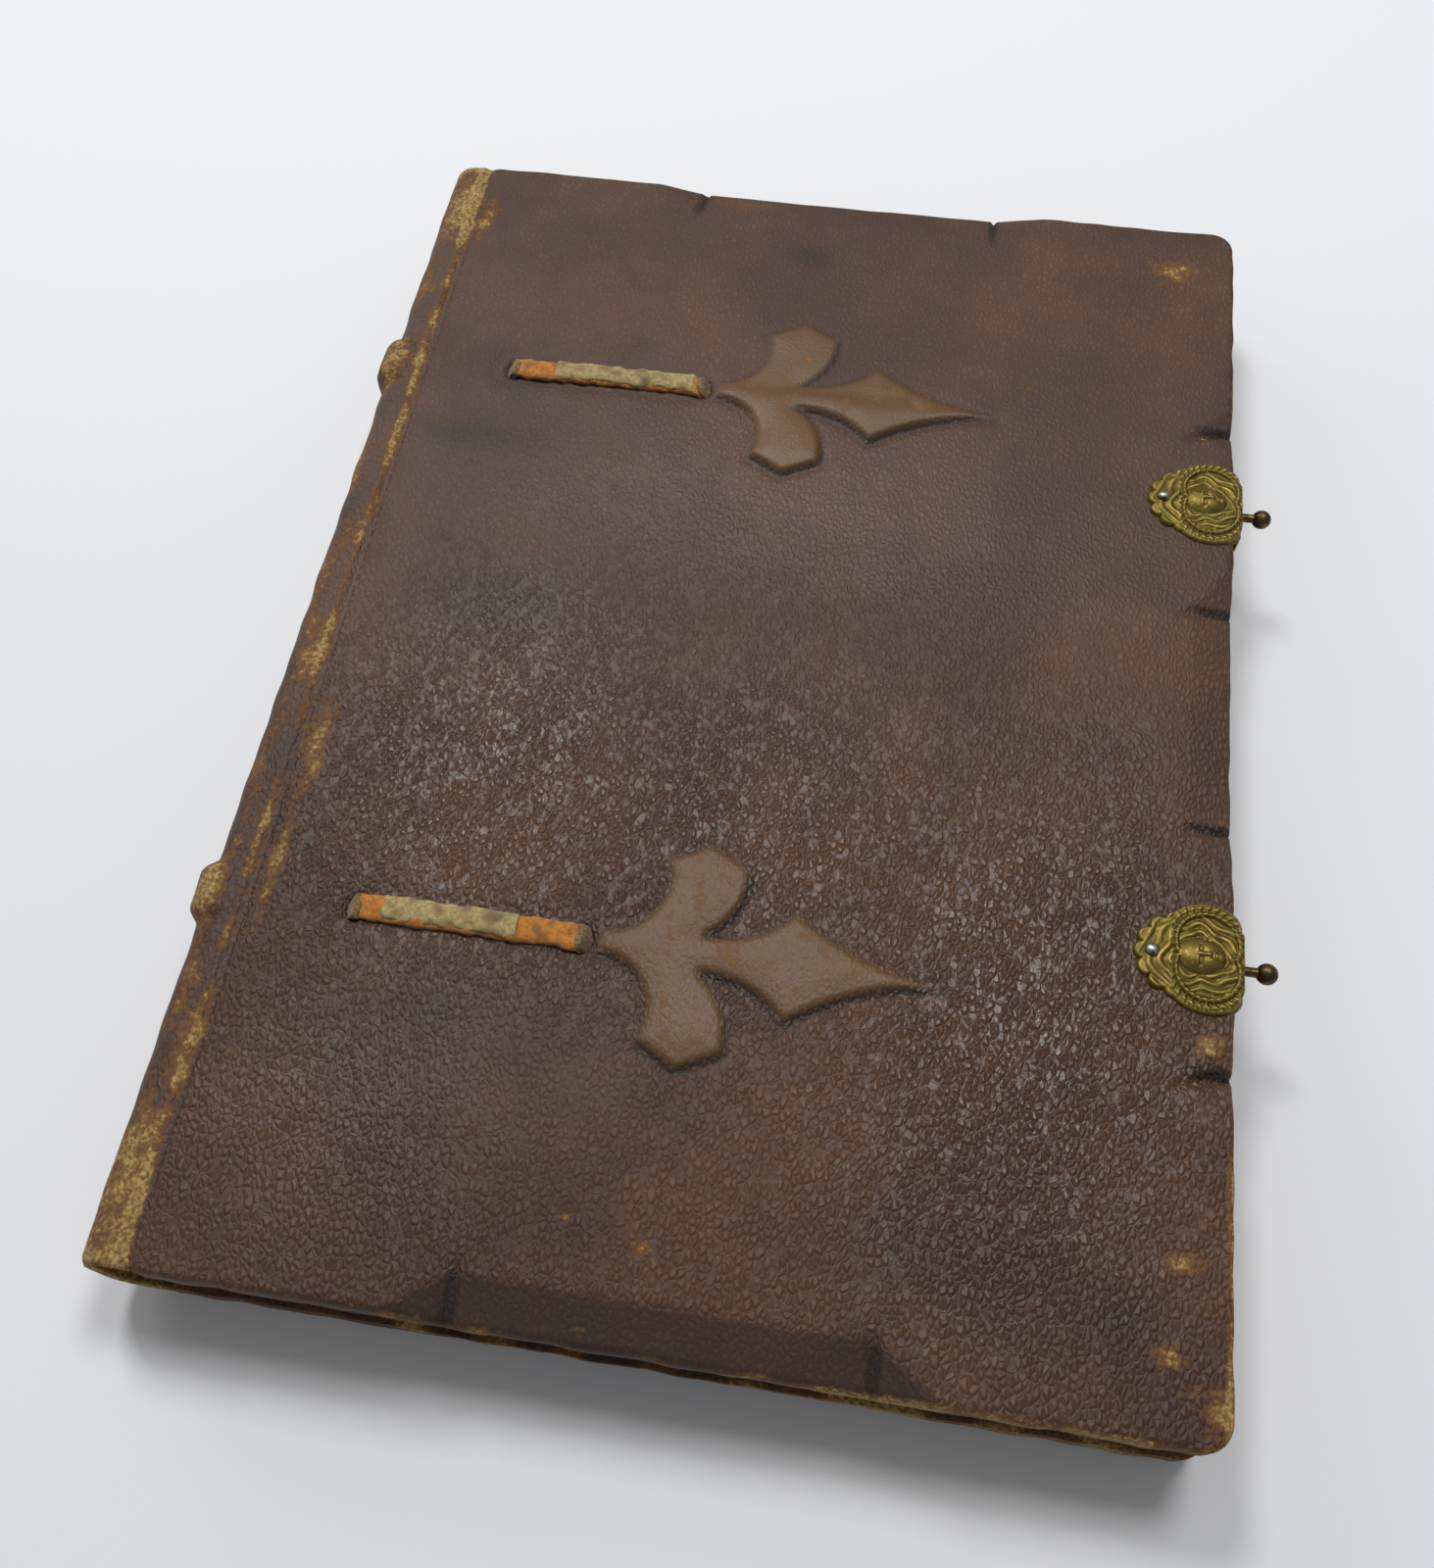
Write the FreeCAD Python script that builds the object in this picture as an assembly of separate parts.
"""Leather-bound prayer book with laced straps, raised fleurons and two ball-pin clasps.

Millimetres. The book lies on its back board: +X runs from the spine to the fore-edge, +Y from tail
to head, +Z up through the front board. The model is drawn in book coordinates, with x = 0 on the
back of the spine, y = 0 on the tail edge and z = 0 on the surface that it lies on, and every node
is moved at the end so that the origin is the bottom centre of the overall box.
"""
import math
import os

import FreeCAD
import Part

V = FreeCAD.Vector

# ---- driving dimensions: covers -------------------------------------------------------------
COVER_WIDTH = 125.0        # back of the spine to the fore-edge
COVER_HEIGHT = 175.0       # tail to head
BOOK_THICKNESS = 15.0      # outer leather face to outer leather face
BOARD_THICKNESS = 2.6
LEATHER = 0.9
INFILL = 0.4               # pared turn-ins, and the card that levels the panel between them
PASTEDOWN = 0.2
TURN_IN = 11.0
CORNER_RADIUS = 3.4        # leather corner at the fore-edge, seen from above
JOINT_X = 5.8              # hinge line of each cover
JOINT_GAP = 0.3            # between the spine leather and the cover leather
JOINT_LIFT = 0.15          # hinge line above the leather face
BOARD_SETBACK = 0.9        # hinge line to the board's spine edge

# ---- driving dimensions: bevelled board edges -------------------------------------------------
BEVEL_WIDTH = 5.6
BEVEL_DEPTH = 1.5
BEVEL_CENTRE_X = 65.2      # middle of the head and tail bevels
BEVEL_HALF_X = 22.9
BEVEL_HALF_Y = 16.3        # fore-edge bevel, each side of mid-height
RAMP_LENGTH = 8.0          # run-out of a bevel past its end notch
NICK_Y = 47.6              # outer fore-edge nicks, each side of mid-height
NICK_RAMP = 5.0
NICK_WIDTH = 4.6
NICK_DEPTH = 1.2
NOTCH_LENGTH = 7.5
NOTCH_WIDTH = 0.9
NOTCH_DEPTH = 2.1

# ---- driving dimensions: straps, bands and fleurons -------------------------------------------
STRAP_FROM_TAIL = 45.2     # lower strap and band
STRAP_FROM_HEAD = 42.2     # upper strap and band
STRAP_WIDTH = 3.3
STRAP_RISE = 1.4           # above the leather
STRAP_LEG = 1.5
STRAP_START_X = 19.6
STRAP_LENGTH = 29.4
STRAP_ROUNDING = 0.7       # rounding of the strap's two ends, as a share of its rise
STRAP_FIT = 0.05           # around a strap in its slots
LACING_DEPTH = 1.2         # channel in the board's inner face
FLEURON_GAP = 1.6          # strap end to fleuron stem
FLEURON_RISE = 1.0
FLEURON_SKIN = 0.7         # leather round the core, seen from above
BAND_RISE = 1.5
BAND_WIDTH = 5.4
BAND_CORE_WIDTH = 3.4
BAND_STEP = 0.1            # the bands stop this far short of the cover faces
SHOULDER_RADIUS = 4.5      # spine leather at the joints

# ---- driving dimensions: text block -----------------------------------------------------------
SQUARE = 3.0               # overhang of the covers past the leaves
GATHERINGS = 6
FLYLEAF = 0.2
LEAF_GAP = 0.05
LINING = 0.4
LEAF_HINGE_X = 6.5
LEAF_START = 2.0           # turning leaves begin this far past their hinge line
FOLD_GAP = 0.2
FOLD_ROUNDING = 0.45       # rounding of a gathering's back, as a share of its thickness
THREAD_RADIUS = 0.25
THREAD_FROM_END = 12.0
ENDBAND_RADIUS = 1.1
ENDBAND_SEAT = 0.7         # how much of the radius stands clear of the folds

# ---- driving dimensions: clasps ---------------------------------------------------------------
CLASP_Y = 33.9             # each side of mid-height
PLATE = 0.7
PLATE_REACH = 12.0         # plate, from the fore-edge inwards
HAIR_RADIUS = 5.4          # across the book
WING_IN = 3.9              # wing's centre, in from the fore-edge and out from the plate's middle
WING_OUT = 3.9
WING_RADIUS_X = 4.2
WING_RADIUS_Y = 3.4
HEAD_IN = 4.9              # face's centre, in from the fore-edge
HEAD_RADIUS_X = 3.4
HEAD_RADIUS_Y = 3.0
HEAD_RISE = 1.1
HEAD_SEAT = 0.05           # the face starts this far inside the plate
FLANGE = 0.9
FLANGE_GAP = 0.05
FLANGE_WIDTH = 7.2
FLANGE_DROP = 3.5
NAIL_FROM_EDGE = 9.8
NAIL_HEAD_RADIUS = 0.85
NAIL_HEAD_RISE = 0.6
NAIL_SHANK_RADIUS = 0.4
NAIL_SHANK = 2.8
BALL_RADIUS = 1.3
BALL_FROM_EDGE = 4.2
NECK_RADIUS = 0.6
NECK_FLARE = 0.95          # radius of the collar where the pin leaves the flange
PIN_TENON = 6.0            # catch pin's shank inside the board
ARM_THICKNESS = 0.7
ARM_WIDTH = 5.6
ARM_GAP = 0.25             # flange to closed arm
EYE_FIT = 0.2              # eye of the arm over the ball
EYE_SHIFT = 0.1            # eye set out, so the ball passes through it on the swing
HINGE_PLATE = 0.6
HINGE_PLATE_GAP = 0.1
HINGE_PLATE_WIDTH = 9.0
HINGE_PLATE_CORNER = 3.6
HINGE_NAIL_IN = 2.2        # from the plate's inner end
HINGE_NAIL_OUT = 2.6       # from the plate's middle
HINGE_TAB = 2.0            # the plate narrows to the arm's width this far from the fore-edge
KNUCKLE_RADIUS = 0.8
KNUCKLE_SPLIT = 1.15       # half the width of the arm's own knuckle
KNUCKLE_FIT = 0.1
HINGE_PIN_RADIUS = 0.35
HINGE_PIN_FIT = 0.04

# ---- derived positions ------------------------------------------------------------------------
COVER = PASTEDOWN + INFILL + BOARD_THICKNESS + LEATHER
MID_Y = COVER_HEIGHT / 2
BACK_FACE = STRAP_RISE                       # outer leather face of the back cover
FRONT_FACE = BACK_FACE + BOOK_THICKNESS      # outer leather face of the front cover
BLOCK_LOW = BACK_FACE + COVER
BLOCK_HIGH = FRONT_FACE - COVER
LEAVES = (BLOCK_HIGH - BLOCK_LOW - 2 * FLYLEAF - (GATHERINGS + 3) * LEAF_GAP) / GATHERINGS
STRAP_Y = {"lower": STRAP_FROM_TAIL, "upper": COVER_HEIGHT - STRAP_FROM_HEAD}
CLASPS = {"lower": MID_Y - CLASP_Y, "upper": MID_Y + CLASP_Y}
BOARD_X0 = JOINT_X + BOARD_SETBACK
COVER_X0 = JOINT_X + JOINT_GAP / 2
SPINE_X1 = JOINT_X - JOINT_GAP / 2
Z_INFILL = PASTEDOWN                         # heights in a cover, from its inner face outwards
Z_BOARD = Z_INFILL + INFILL
Z_SKIN = Z_BOARD + BOARD_THICKNESS
PIN_Z = COVER / 2
FLANGE_X0 = COVER_WIDTH + FLANGE_GAP
FLANGE_X1 = FLANGE_X0 + FLANGE
AXIS_Z = KNUCKLE_RADIUS                      # clasp hinge: knuckles stand on the resting plane
AXIS_X = FLANGE_X1 + ARM_GAP + KNUCKLE_RADIUS
BALL_X = COVER_WIDTH + BALL_FROM_EDGE
EYE_RADIUS = BALL_RADIUS + EYE_FIT
ARM_REACH = FRONT_FACE - COVER + PIN_Z - AXIS_Z   # hinge axis to catch pin
SPILL = 1.0                                  # how far a cutter runs past the face it cuts
EXACT = 1e-6                                 # tolerance for picking an edge by its place


def box(x0, x1, y0, y1, z0, z1):
    return Part.makeBox(x1 - x0, y1 - y0, z1 - z0, V(x0, y0, z0))


def prism(points, direction):
    """Closed polygon of points, pushed along direction."""
    return Part.Face(Part.makePolygon([V(*p) for p in points] + [V(*points[0])])).extrude(V(*direction))


def tetra(a, b, c, d):
    """Solid with four corners."""
    faces = [(a, b, c), (a, b, d), (a, c, d), (b, c, d)]
    shell = Part.Shell([Part.Face(Part.makePolygon([V(*p) for p in f] + [V(*f[0])])) for f in faces])
    solid = Part.Solid(shell)
    if solid.Volume < 0:
        solid.reverse()
    return solid


def fuse(shapes):
    return shapes[0].multiFuse(shapes[1:]).removeSplitter() if len(shapes) > 1 else shapes[0]


def rounded(x0, x1, y0, y1, z0, z1, radius, side):
    """Box with two edges rounded: side "spine" rounds along Y at x0, side "fore" along Z at x1."""
    solid = box(x0, x1, y0, y1, z0, z1)
    if side == "spine":
        chosen = [e for e in solid.Edges if abs(e.CenterOfMass.x - x0) < EXACT
                  and abs(e.CenterOfMass.y - (y0 + y1) / 2) < EXACT]
    else:
        chosen = [e for e in solid.Edges if abs(e.CenterOfMass.x - x1) < EXACT
                  and abs(e.CenterOfMass.z - (z0 + z1) / 2) < EXACT]
    return solid.makeFillet(radius, chosen)


# ---- bevels and notches -----------------------------------------------------------------------
# An edge is cut in its own coordinates: +X along it, +Y out of the cover, the outer face at z = 0.
def bevel_cutter(middle, half):
    """Triangular prism between two notches: full width on the face, full depth at the edge."""
    points = [(middle - half, -BEVEL_WIDTH, 0), (middle - half, 0, -BEVEL_DEPTH), (middle - half, 0, 0)]
    return prism(points, (2 * half, 0, 0))


def ramp_cutter(start, length, width, depth):
    """Run-out: the full width and depth at start, nothing at start + length."""
    return tetra((start, 0, 0), (start, 0, -depth), (start, -width, 0), (start + length, 0, 0))


def notch_cutter(at):
    """Narrow wedge across the edge, deepest at the edge."""
    points = [(at - NOTCH_WIDTH / 2, -NOTCH_LENGTH, 0), (at - NOTCH_WIDTH / 2, 0, -NOTCH_DEPTH),
              (at - NOTCH_WIDTH / 2, 0, 0)]
    return prism(points, (NOTCH_WIDTH, 0, 0))


def bevelled_edge(middle, half):
    """Bevel with a notch and a run-out at each end."""
    cutters = [bevel_cutter(middle, half)]
    for sign in (-1, 1):
        cutters.append(ramp_cutter(middle + sign * half, sign * RAMP_LENGTH, BEVEL_WIDTH, BEVEL_DEPTH))
        cutters.append(notch_cutter(middle + sign * half))
    return cutters


def nick(at):
    """Lone notch with a short facet on each side."""
    facets = [ramp_cutter(at, sign * NICK_RAMP, NICK_WIDTH, NICK_DEPTH) for sign in (-1, 1)]
    return [*facets, notch_cutter(at)]


def edge_cutters(x_edge, y_tail, y_head, z_face):
    """All cutters of one board, or of its leather, whose edges and outer face lie here."""
    head = bevelled_edge(BEVEL_CENTRE_X, BEVEL_HALF_X)
    tail = bevelled_edge(-BEVEL_CENTRE_X, BEVEL_HALF_X)
    fore = [*bevelled_edge(-MID_Y, BEVEL_HALF_Y), *nick(-MID_Y - NICK_Y), *nick(-MID_Y + NICK_Y)]
    for cutters, turn, x, y in ((head, 0, 0, y_head), (tail, 180, 0, y_tail), (fore, -90, x_edge, 0)):
        for cutter in cutters:
            cutter.rotate(V(0, 0, 0), V(0, 0, 1), turn)
            cutter.translate(V(x, y, z_face))
    return [*head, *tail, *fore]


# ---- fleuron ----------------------------------------------------------------------------------
def fleuron_face(inset):
    """Three-leaved finial, stem at the origin and tip along +X, drawn in from its edge by inset."""

    def arc(a, b, c):
        return Part.Arc(V(*a, 0), V(*b, 0), V(*c, 0)).toShape()

    stem, lobe_in, lobe_tip, lobe_out = (0, 1.3), (6.3, 11.6), (11.3, 14.3), (16.4, 11.7)
    crotch, shoulder, tip = (12.0, 2.3), (22.9, 6.85), (40.5, 0)
    half = [
        arc(stem, (5.7, 4.5), lobe_in),
        Part.LineSegment(V(*lobe_in, 0), V(*lobe_tip, 0)).toShape(),
        Part.LineSegment(V(*lobe_tip, 0), V(*lobe_out, 0)).toShape(),
        arc(lobe_out, (15.8, 7.0), crotch),
        arc(crotch, (17.7, 3.1), shoulder),
        arc(shoulder, (30.0, 2.7), tip),
    ]
    mirrored = [e.mirror(V(0, 0, 0), V(0, 1, 0)) for e in half]
    butt = Part.LineSegment(V(0, -stem[1], 0), V(0, stem[1], 0)).toShape()
    wire = Part.Wire(Part.__sortEdges__([butt] + half + mirrored))
    face = Part.Face(wire)
    if inset:
        face = face.makeOffset2D(-inset)
    return face


def fleuron(inset, z0, z1, y):
    solid = fleuron_face(inset).extrude(V(0, 0, z1 - z0))
    solid.translate(V(STRAP_START_X + STRAP_LENGTH + FLEURON_GAP, y, z0))
    return solid


# ---- one cover, drawn with its inner face at z = 0 and its outer face at z = COVER --------------
def strap_path(half_width, grow):
    """The hidden run of a strap: channel in the board's inner face, and a leg at each end of the strap."""
    x0, x1 = STRAP_START_X, STRAP_START_X + STRAP_LENGTH
    channel = Z_BOARD + LACING_DEPTH + grow
    lacing = box(BOARD_X0, x0 + STRAP_LEG + grow, -half_width, half_width, Z_BOARD, channel)
    first = box(x0 - grow, x0 + STRAP_LEG + grow, -half_width, half_width, Z_BOARD, COVER)
    last = box(x1 - STRAP_LEG - grow, x1 + grow, -half_width, half_width, Z_BOARD, COVER)
    return [lacing, first, last]


def strap(y):
    """Laced strap: along its channel, up through the cover, along the leather, and down again."""
    half = STRAP_WIDTH / 2
    top = COVER + STRAP_RISE
    run = box(STRAP_START_X, STRAP_START_X + STRAP_LENGTH, -half, half, COVER, top)
    ends = [e for e in run.Edges if abs(e.CenterOfMass.z - top) < EXACT and abs(e.CenterOfMass.y) < EXACT]
    run = run.makeFillet(STRAP_RISE * STRAP_ROUNDING, ends)
    solid = fuse([run, *strap_path(half, 0)])
    solid.translate(V(0, y, 0))
    return solid


def strap_slots():
    slots = []
    for y in STRAP_Y.values():
        for slot in strap_path(STRAP_WIDTH / 2 + STRAP_FIT, STRAP_FIT):
            slot.translate(V(0, y, 0))
            slots.append(slot)
    return slots


def board():
    y0, y1, x1 = LEATHER, COVER_HEIGHT - LEATHER, COVER_WIDTH - LEATHER
    solid = rounded(BOARD_X0, x1, y0, y1, Z_BOARD, Z_SKIN, CORNER_RADIUS - LEATHER, "fore")
    solid = solid.cut(edge_cutters(x1, y0, y1, Z_SKIN))
    return solid.cut(strap_slots())


def leather(board_solid):
    """Outer skin with turned-in edges; the board, the infill and the fleuron cores fit inside it."""
    skin = rounded(COVER_X0, COVER_WIDTH, 0, COVER_HEIGHT, Z_INFILL, COVER, CORNER_RADIUS, "fore")
    skin = skin.cut(edge_cutters(COVER_WIDTH, 0, COVER_HEIGHT, COVER))
    raised = [fleuron(0, Z_SKIN, COVER + FLEURON_RISE, y) for y in STRAP_Y.values()]
    skin = fuse([skin, *raised])
    window = box(COVER_X0, COVER_WIDTH - TURN_IN, TURN_IN, COVER_HEIGHT - TURN_IN, Z_INFILL, Z_BOARD)
    inside = rounded(BOARD_X0, COVER_WIDTH - LEATHER, LEATHER, COVER_HEIGHT - LEATHER, Z_BOARD, Z_SKIN,
                     CORNER_RADIUS - LEATHER, "fore")
    inside = inside.cut(edge_cutters(COVER_WIDTH - LEATHER, LEATHER, COVER_HEIGHT - LEATHER, Z_SKIN))
    open_edge = box(COVER_X0, BOARD_X0, 0, COVER_HEIGHT, Z_INFILL, Z_SKIN)
    cores = [fleuron_core(y) for y in STRAP_Y.values()]
    return skin.cut([window, inside, open_edge, *cores, *strap_slots()])


def fleuron_core(y):
    return fleuron(FLEURON_SKIN, Z_SKIN, Z_SKIN + FLEURON_RISE, y)


def infill():
    edge = COVER_WIDTH - TURN_IN - STRAP_FIT
    return box(BOARD_X0, edge, TURN_IN + STRAP_FIT, COVER_HEIGHT - TURN_IN - STRAP_FIT, Z_INFILL, Z_BOARD)


def pastedown():
    return box(BOARD_X0, COVER_WIDTH - SQUARE, SQUARE, COVER_HEIGHT - SQUARE, 0, PASTEDOWN)


# ---- clasps -----------------------------------------------------------------------------------
def nail(x, y, z_face):
    """Round-headed brad whose head sits on z_face."""
    head = dome(x, y, NAIL_HEAD_RADIUS, NAIL_HEAD_RADIUS, z_face, NAIL_HEAD_RISE)
    shank = Part.makeCylinder(NAIL_SHANK_RADIUS, NAIL_SHANK, V(x, y, z_face - NAIL_SHANK))
    return fuse([head, shank])


def nail_hole(x, y, z_face):
    return Part.makeCylinder(NAIL_SHANK_RADIUS, NAIL_SHANK, V(x, y, z_face - NAIL_SHANK))


def disc(x, y, rx, ry, z0, z1):
    """Oval plate with its radii along X and Y."""
    flat = Part.makeCylinder(1, z1 - z0)
    stretch = FreeCAD.Matrix()
    stretch.scale(rx, ry, 1)
    flat = flat.transformGeometry(stretch)
    flat.translate(V(x, y, z0))
    return flat


def dome(x, y, rx, ry, z0, height):
    """Upper half of an ellipsoid."""
    ball = Part.makeSphere(1, V(0, 0, 0), V(0, 0, 1), 0, 90, 360)
    stretch = FreeCAD.Matrix()
    stretch.scale(rx, ry, height)
    ball = ball.transformGeometry(stretch)
    ball.translate(V(x, y, z0))
    return ball


def catch_plate(y):
    """Stamped face plate: head and two wings, with a flange over the fore-edge for the catch pin."""
    z0, z1 = COVER, COVER + PLATE
    edge = COVER_WIDTH
    half = FLANGE_WIDTH / 2
    hair = disc(edge - PLATE_REACH / 2, y, PLATE_REACH / 2, HAIR_RADIUS, z0, z1)
    wings = [disc(edge - WING_IN, y + out, WING_RADIUS_X, WING_RADIUS_Y, z0, z1) for out in (-WING_OUT, WING_OUT)]
    bend = box(edge - WING_IN, FLANGE_X1, y - half, y + half, z0, z1)
    flange = box(FLANGE_X0, FLANGE_X1, y - half, y + half, COVER - FLANGE_DROP, z1)
    head = dome(edge - HEAD_IN, y, HEAD_RADIUS_X, HEAD_RADIUS_Y, z1 - HEAD_SEAT, HEAD_RISE)
    solid = fuse([hair, *wings, bend, flange, head])
    hole = Part.makeCylinder(NECK_RADIUS, FLANGE + 2 * SPILL, V(FLANGE_X0 - SPILL, y, PIN_Z), V(1, 0, 0))
    return solid.cut([hole, nail_hole(edge - NAIL_FROM_EDGE, y, z1)])


def catch_pin(y):
    """Ball-ended pin, driven through the flange into the board's edge."""
    start = COVER_WIDTH - PIN_TENON
    shank = Part.makeCylinder(NECK_RADIUS, BALL_X - start, V(start, y, PIN_Z), V(1, 0, 0))
    flare = Part.makeCone(NECK_FLARE, NECK_RADIUS, ARM_GAP, V(FLANGE_X1, y, PIN_Z), V(1, 0, 0))
    ball = Part.makeSphere(BALL_RADIUS, V(BALL_X, y, PIN_Z))
    return fuse([shank, flare, ball])


def pin_bore(y):
    return Part.makeCylinder(NECK_RADIUS, PIN_TENON, V(COVER_WIDTH - PIN_TENON, y, PIN_Z), V(1, 0, 0))


def hinge_nail_spots(y):
    """Two brads fix each hinge plate."""
    x = COVER_WIDTH - PLATE_REACH + HINGE_NAIL_IN
    return [(x, y - HINGE_NAIL_OUT), (x, y + HINGE_NAIL_OUT)]


def knuckle(y0, y1, radius=KNUCKLE_RADIUS):
    return Part.makeCylinder(radius, y1 - y0, V(AXIS_X, y0, AXIS_Z), V(0, 1, 0))


def hinge_plate(y):
    """Plate nailed under the back board, with two knuckles at the fore-edge. Book coordinates."""
    z1, z0 = BACK_FACE, BACK_FACE - HINGE_PLATE
    half = HINGE_PLATE_WIDTH / 2
    leaf = box(COVER_WIDTH - PLATE_REACH, COVER_WIDTH - HINGE_TAB, y - half, y + half, z0, z1)
    corners = [e for e in leaf.Edges if abs(e.CenterOfMass.x - (COVER_WIDTH - PLATE_REACH)) < EXACT
               and abs(e.CenterOfMass.z - (z0 + z1) / 2) < EXACT]
    leaf = leaf.makeFillet(HINGE_PLATE_CORNER, corners)
    tab = box(COVER_WIDTH - HINGE_TAB, AXIS_X, y - ARM_WIDTH / 2, y + ARM_WIDTH / 2, z0, z1)
    split = KNUCKLE_SPLIT + KNUCKLE_FIT
    ends = [knuckle(y - ARM_WIDTH / 2, y - split), knuckle(y + split, y + ARM_WIDTH / 2)]
    solid = fuse([leaf, tab, *ends])
    reach = KNUCKLE_RADIUS + KNUCKLE_FIT
    gap = box(AXIS_X - reach, AXIS_X + reach, y - split, y + split, 0, AXIS_Z + reach)
    bore = knuckle(y - ARM_WIDTH, y + ARM_WIDTH, HINGE_PIN_RADIUS)
    holes = [Part.makeCylinder(NAIL_SHANK_RADIUS, HINGE_PLATE, V(hx, hy, z0)) for hx, hy in hinge_nail_spots(y)]
    return solid.cut([gap, bore, *holes])


def hinge_pin(y):
    return knuckle(y - ARM_WIDTH / 2, y + ARM_WIDTH / 2, HINGE_PIN_RADIUS)


def hinge_nails(y):
    """Flat-headed brads, sunk so that the folded arm clears them."""
    z0 = BACK_FACE - HINGE_PLATE
    return Part.makeCompound([Part.makeCylinder(NAIL_SHANK_RADIUS, HINGE_PLATE + NAIL_SHANK, V(hx, hy, z0))
                              for hx, hy in hinge_nail_spots(y)])


def clasp_arm(y):
    """Spring arm with an eye for the ball pin, folded back under the hinge plate."""
    half = ARM_WIDTH / 2
    eye_x = AXIS_X - ARM_REACH - EYE_SHIFT
    strip = box(eye_x, AXIS_X, y - half, y + half, 0, ARM_THICKNESS)
    end = Part.makeCylinder(half, ARM_THICKNESS, V(eye_x, y, 0))
    solid = fuse([strip, end])
    split = KNUCKLE_SPLIT + KNUCKLE_FIT
    shoulder = AXIS_X - KNUCKLE_RADIUS - KNUCKLE_FIT
    relief = [box(shoulder, AXIS_X, y - half, y - KNUCKLE_SPLIT, 0, ARM_THICKNESS),
              box(shoulder, AXIS_X, y + KNUCKLE_SPLIT, y + half, 0, ARM_THICKNESS)]
    own = knuckle(y - KNUCKLE_SPLIT, y + KNUCKLE_SPLIT)
    solid = fuse([solid.cut(relief), own])
    eye = Part.makeCylinder(EYE_RADIUS, ARM_THICKNESS + 2 * SPILL, V(eye_x, y, -SPILL))
    bore = knuckle(y - split, y + split, HINGE_PIN_RADIUS + HINGE_PIN_FIT)
    return solid.cut([eye, bore])


# ---- spine and text block ---------------------------------------------------------------------
def spine_profile(x0, skin, radius, y0, y1, x1=SPINE_X1):
    return rounded(x0, x1, y0, y1, BACK_FACE + skin, FRONT_FACE - skin, radius, "spine")


def band_profile(skin, y, width, x1=SPINE_X1):
    """Raised band under skin: it runs out into the two shoulders just short of the cover faces."""
    y0, y1 = y - width / 2, y + width / 2
    return spine_profile(skin - BAND_RISE, skin + BAND_STEP, SHOULDER_RADIUS - skin, y0, y1, x1)


def spine_leather():
    body = spine_profile(0, 0, SHOULDER_RADIUS, 0, COVER_HEIGHT)
    bands = [band_profile(0, y, BAND_WIDTH) for y in STRAP_Y.values()]
    inside = [spine_profile(LEATHER, LEATHER, SHOULDER_RADIUS - LEATHER, 0, COVER_HEIGHT, BOARD_X0)]
    inside += [band_profile(LEATHER, y, BAND_CORE_WIDTH, BOARD_X0) for y in STRAP_Y.values()]
    return fuse([body, *bands]).cut(inside)


def spine_lining():
    """Glued linen and paper that covers the folds and builds up the two shoulders."""
    y0, y1 = SQUARE, COVER_HEIGHT - SQUARE
    body = spine_profile(LEATHER, LEATHER, SHOULDER_RADIUS - LEATHER, y0, y1, SPINE_X1 - STRAP_FIT)
    return body.cut(box(LEATHER + LINING, BOARD_X0, y0, y1, BLOCK_LOW, BLOCK_HIGH))


def band_core(y):
    """Sewing support across the spine, under the leather."""
    outer = band_profile(LEATHER, y, BAND_CORE_WIDTH, SPINE_X1 - STRAP_FIT)
    hollow = spine_profile(LEATHER, LEATHER, SHOULDER_RADIUS - LEATHER, 0, COVER_HEIGHT, BOARD_X0)
    return outer.cut(hollow)


def leaf_floor(k):
    """Underside of gathering k, counted from the back."""
    return BLOCK_LOW + LEAF_GAP + FLYLEAF + LEAF_GAP + k * (LEAVES + LEAF_GAP)


def fold(k):
    """Sewn back of a gathering: rounded folds, with the thread's tunnel through it."""
    z0 = leaf_floor(k)
    z1 = z0 + LEAVES
    x0 = LEATHER + LINING
    x1 = LEAF_HINGE_X - FOLD_GAP
    solid = rounded(x0, x1, SQUARE, COVER_HEIGHT - SQUARE, z0, z1, LEAVES * FOLD_ROUNDING, "spine")
    return solid.cut(thread(k))


def thread(k):
    z = leaf_floor(k) + LEAVES / 2
    length = COVER_HEIGHT - 2 * SQUARE - 2 * THREAD_FROM_END
    start = V(LEATHER + LINING + LEAVES, SQUARE + THREAD_FROM_END, z)
    return Part.makeCylinder(THREAD_RADIUS, length, start, V(0, 1, 0))


def leaves(x0, z0, thickness):
    return box(x0, COVER_WIDTH - SQUARE, SQUARE, COVER_HEIGHT - SQUARE, z0, z0 + thickness)


def endband(end, outwards):
    """Wound band seated against one end of the folds; outwards is +1 at the head and -1 at the tail."""
    centre = end + outwards * ENDBAND_RADIUS * ENDBAND_SEAT
    x = LEATHER + LINING + ENDBAND_RADIUS
    round_band = Part.makeCylinder(ENDBAND_RADIUS, BLOCK_HIGH - BLOCK_LOW, V(x, centre, BLOCK_LOW))
    far = end + outwards * 2 * ENDBAND_RADIUS
    outside = box(0, 2 * x, min(end, far), max(end, far), BLOCK_LOW, BLOCK_HIGH)
    return round_band.common(outside)


# ---- assembly ---------------------------------------------------------------------------------
def front(shape):
    """Cover coordinates to the front cover's place."""
    moved = shape.copy()
    moved.translate(V(0, 0, BLOCK_HIGH))
    return moved


def back(shape):
    """Cover coordinates to the back cover's place, outer face down."""
    moved = shape.mirror(V(0, 0, 0), V(0, 0, 1))
    moved.translate(V(0, 0, BLOCK_LOW))
    return moved


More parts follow.
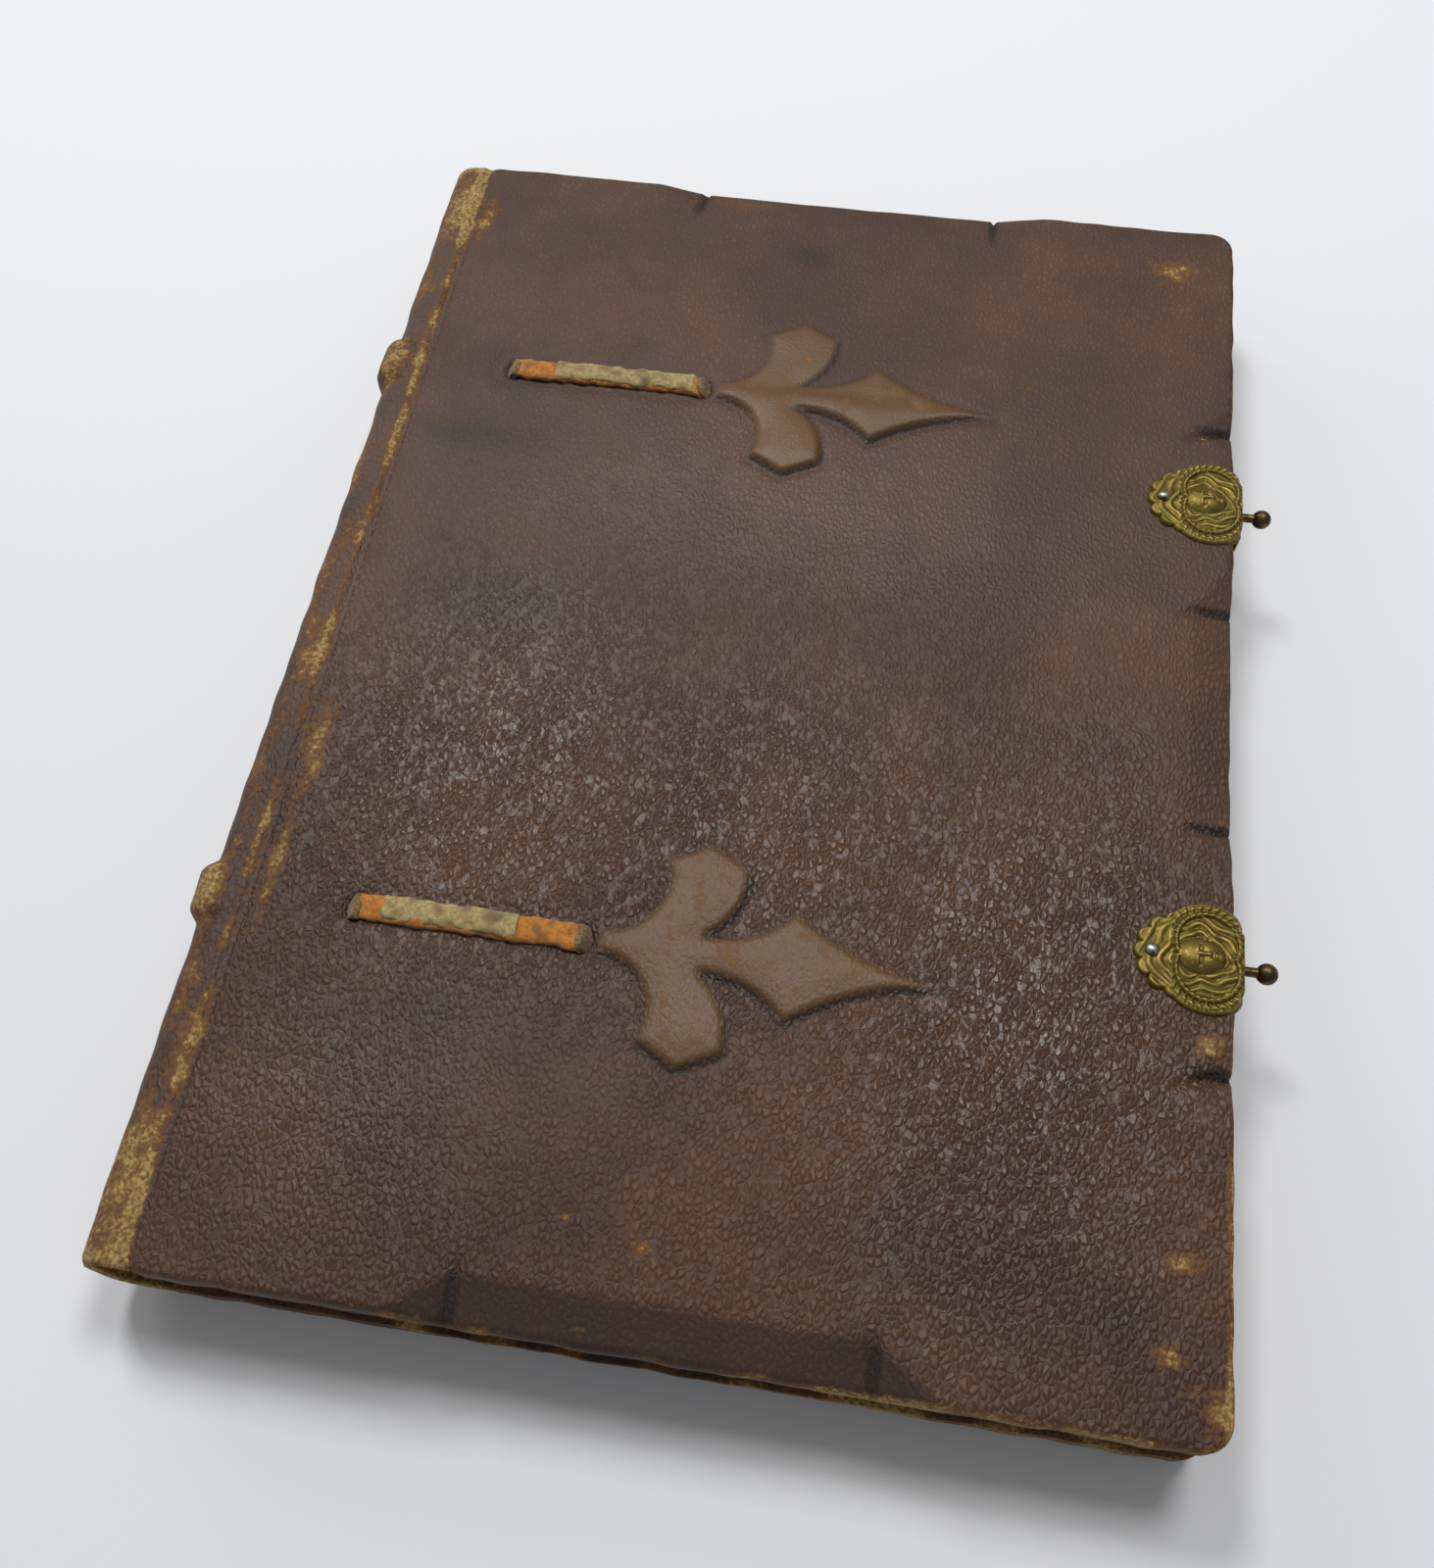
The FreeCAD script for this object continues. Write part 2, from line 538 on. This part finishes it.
def build():
    nodes = {}
    plain_board, bores = board(), [pin_bore(y) for y in CLASPS.values()]
    skin = leather(plain_board)
    face_nails = [nail_hole(COVER_WIDTH - NAIL_FROM_EDGE, y, COVER + PLATE) for y in CLASPS.values()]
    nodes["front_board"] = front(plain_board.cut([*bores, *face_nails]))
    nodes["front_leather"] = front(skin.cut([*bores, *face_nails]))
    under_nails = [hinge_nails(y) for y in CLASPS.values()]
    nodes["back_board"] = back(plain_board).cut(under_nails)
    nodes["back_leather"] = back(skin).cut(under_nails)
    for side, place in (("front", front), ("back", back)):
        nodes[side + "_infill"] = place(infill())
        nodes[side + "_pastedown"] = place(pastedown())
        for level, y in STRAP_Y.items():
            nodes[f"{side}_strap_{level}"] = place(strap(y))
            nodes[f"{side}_fleuron_core_{level}"] = place(fleuron_core(y))
    for level, y in CLASPS.items():
        nodes["catch_plate_" + level] = front(catch_plate(y))
        nodes["catch_pin_" + level] = front(catch_pin(y))
        nodes["catch_nail_" + level] = front(nail(COVER_WIDTH - NAIL_FROM_EDGE, y, COVER + PLATE))
        nodes["hinge_plate_" + level] = hinge_plate(y)
        nodes["hinge_pin_" + level] = hinge_pin(y)
        nodes["hinge_nails_" + level] = hinge_nails(y)
        nodes["clasp_arm_" + level] = clasp_arm(y)
    nodes["spine_leather"] = spine_leather()
    nodes["spine_lining"] = spine_lining()
    for level, y in STRAP_Y.items():
        nodes["band_core_" + level] = band_core(y)
    nodes["headband"] = endband(COVER_HEIGHT - SQUARE, 1)
    nodes["tailband"] = endband(SQUARE, -1)
    for k in range(GATHERINGS):
        nodes[f"fold_{k + 1}"] = fold(k)
        start = LEAF_HINGE_X - FOLD_GAP if k == 0 else LEAF_HINGE_X + LEAF_START
        nodes[f"leaves_{k + 1}"] = leaves(start, leaf_floor(k), LEAVES)
    nodes["sewing_threads"] = Part.makeCompound([thread(k) for k in range(GATHERINGS)])
    nodes["back_flyleaf"] = leaves(LEATHER + LINING, BLOCK_LOW + LEAF_GAP, FLYLEAF)
    nodes["front_flyleaf"] = leaves(LEAF_HINGE_X + LEAF_START, BLOCK_HIGH - LEAF_GAP - FLYLEAF, FLYLEAF)
    return nodes


def main():
    os.makedirs("parts", exist_ok=True)
    low_x, high_x = -BAND_RISE, BALL_X + BALL_RADIUS
    to_origin = V(-(low_x + high_x) / 2, -MID_Y, 0)
    for name, shape in build().items():
        shape.translate(to_origin)
        shape.exportStep(f"parts/{name}.step")
        print(f"{name:28s} {len(shape.Solids)} solids  {shape.Volume:9.1f} mm3  valid {shape.isValid()}")
    print("origin shift", to_origin, "hinge height", FRONT_FACE + JOINT_LIFT, BACK_FACE - JOINT_LIFT,
          "leaves", LEAVES, "clasp axis", AXIS_X, AXIS_Z)


main()
